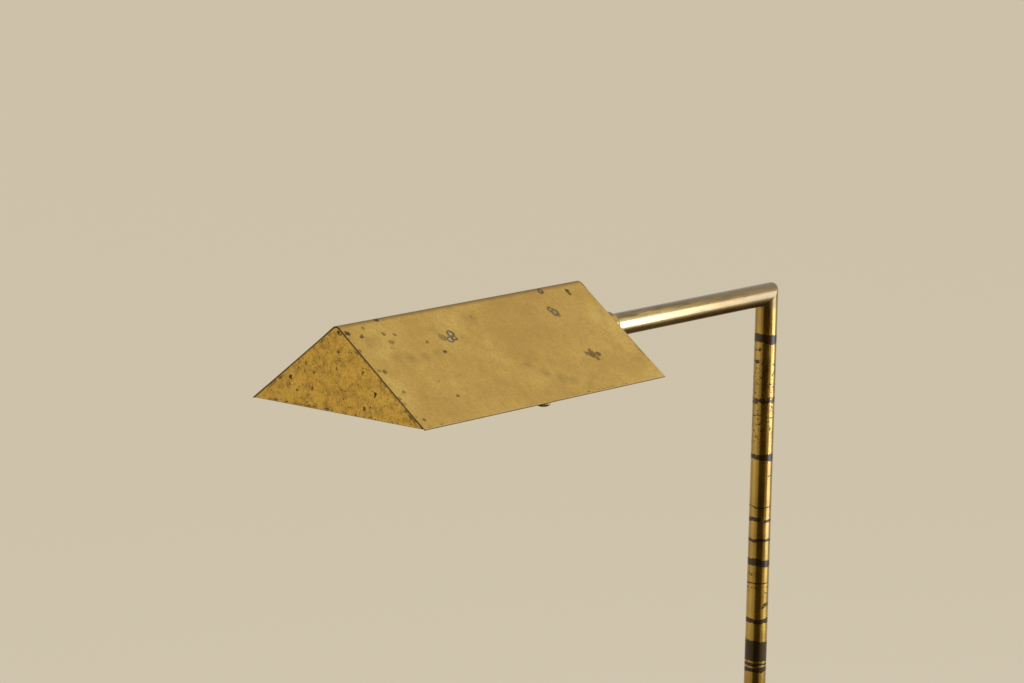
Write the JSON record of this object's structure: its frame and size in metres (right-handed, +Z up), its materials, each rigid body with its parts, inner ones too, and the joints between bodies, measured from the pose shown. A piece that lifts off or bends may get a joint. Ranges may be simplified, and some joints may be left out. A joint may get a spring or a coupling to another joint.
{
  "type": "pharmacy floor lamp",
  "caption": "Brass pharmacy floor lamp: weighted round base, telescoping stem with a collar nut, mitred arm, and a folded tent shade that turns on the arm over a switched bulb socket.",
  "frame": {"origin": "centre of the base's underside, on the stem's axis", "axes": "+Z up along the stem; -Y along the arm towards the shade; +X to the side of the shade"},
  "size_m": [0.254, 0.561, 1.2191],
  "materials": {
    "aged_brass": "satin sheet brass, aged, with patina spots",
    "polished_brass": "polished drawn brass tube, tarnished in rings",
    "turned_brass": "turned brass",
    "cast_iron": "raw casting",
    "zinc_steel": "zinc-plated steel",
    "felt": "pressed wool felt",
    "fibre": "vulcanised fibre",
    "phenolic": "moulded phenolic",
    "nylon": "turned nylon",
    "lead_jacket": "flexible lead jacket",
    "aluminium": "pressed bulb cap",
    "opal_glass": "opal inner coating"
  },
  "bodies": {
    "base": {"base_cover": "aged_brass", "base_weight": "cast_iron", "base_felt": "felt", "cord_bushing": "phenolic", "column_nipple": "zinc_steel", "base_washer": "zinc_steel", "base_lock_nut": "zinc_steel", "column_ferrule": "turned_brass", "column_foot_plug": "turned_brass", "column_tube": "polished_brass", "collet_body": "turned_brass", "lead_column": "lead_jacket"},
    "collar_nut": {"collar_nut": "turned_brass"},
    "stem_guide": {"stem_guide_bush": "nylon"},
    "stem": {"stem_end_plug": "turned_brass", "stem_tube": "polished_brass", "arm_tube": "polished_brass", "arm_end_bush": "turned_brass", "lead_stem": "lead_jacket"},
    "head": {"shade_canopy": "aged_brass", "shade_rear_plate": "aged_brass", "shade_front_plate": "aged_brass", "swivel_sleeve": "turned_brass", "shade_nipple": "zinc_steel", "swivel_lock_nut": "turned_brass", "swivel_spring_washer": "zinc_steel", "swivel_friction_washer": "fibre", "shade_lock_nut": "turned_brass", "lead_socket": "lead_jacket", "socket_cap": "turned_brass", "socket_shell": "turned_brass", "socket_liner": "fibre", "switch_body": "phenolic", "centre_contact": "turned_brass", "screw_shell": "turned_brass", "bulb_cap": "aluminium", "bulb_glass": "opal_glass"},
    "switch_knob": {"switch_shaft": "zinc_steel", "switch_knob": "turned_brass"}
  },
  "joints": [
    {"name": "height_slide", "type": "slide", "parent": "base", "child": "stem_guide", "axis": [0, 0, 1], "range_m": [-0.37, 0.05], "deforming": ["lead_column"]},
    {"name": "stem_swivel", "type": "hinge", "parent": "stem_guide", "child": "stem", "pos_m": [0, 0, 0.74], "axis": [0, 0, 1], "range_deg": [-170, 170]},
    {"name": "shade_turn", "type": "hinge", "parent": "stem", "child": "head", "pos_m": [0, -0.2, 1.184], "axis": [0, -1, 0], "range_deg": [-150, 150]},
    {"name": "collar_nut_turn", "type": "hinge", "parent": "base", "child": "collar_nut", "pos_m": [0, 0, 0.757], "axis": [0, 0, 1], "range_deg": [0, 180]},
    {"name": "switch_turn", "type": "hinge", "parent": "head", "child": "switch_knob", "pos_m": [0.001, -0.2384, 1.144], "axis": [0.0244, 0, -0.9997], "continuous": true}
  ]
}
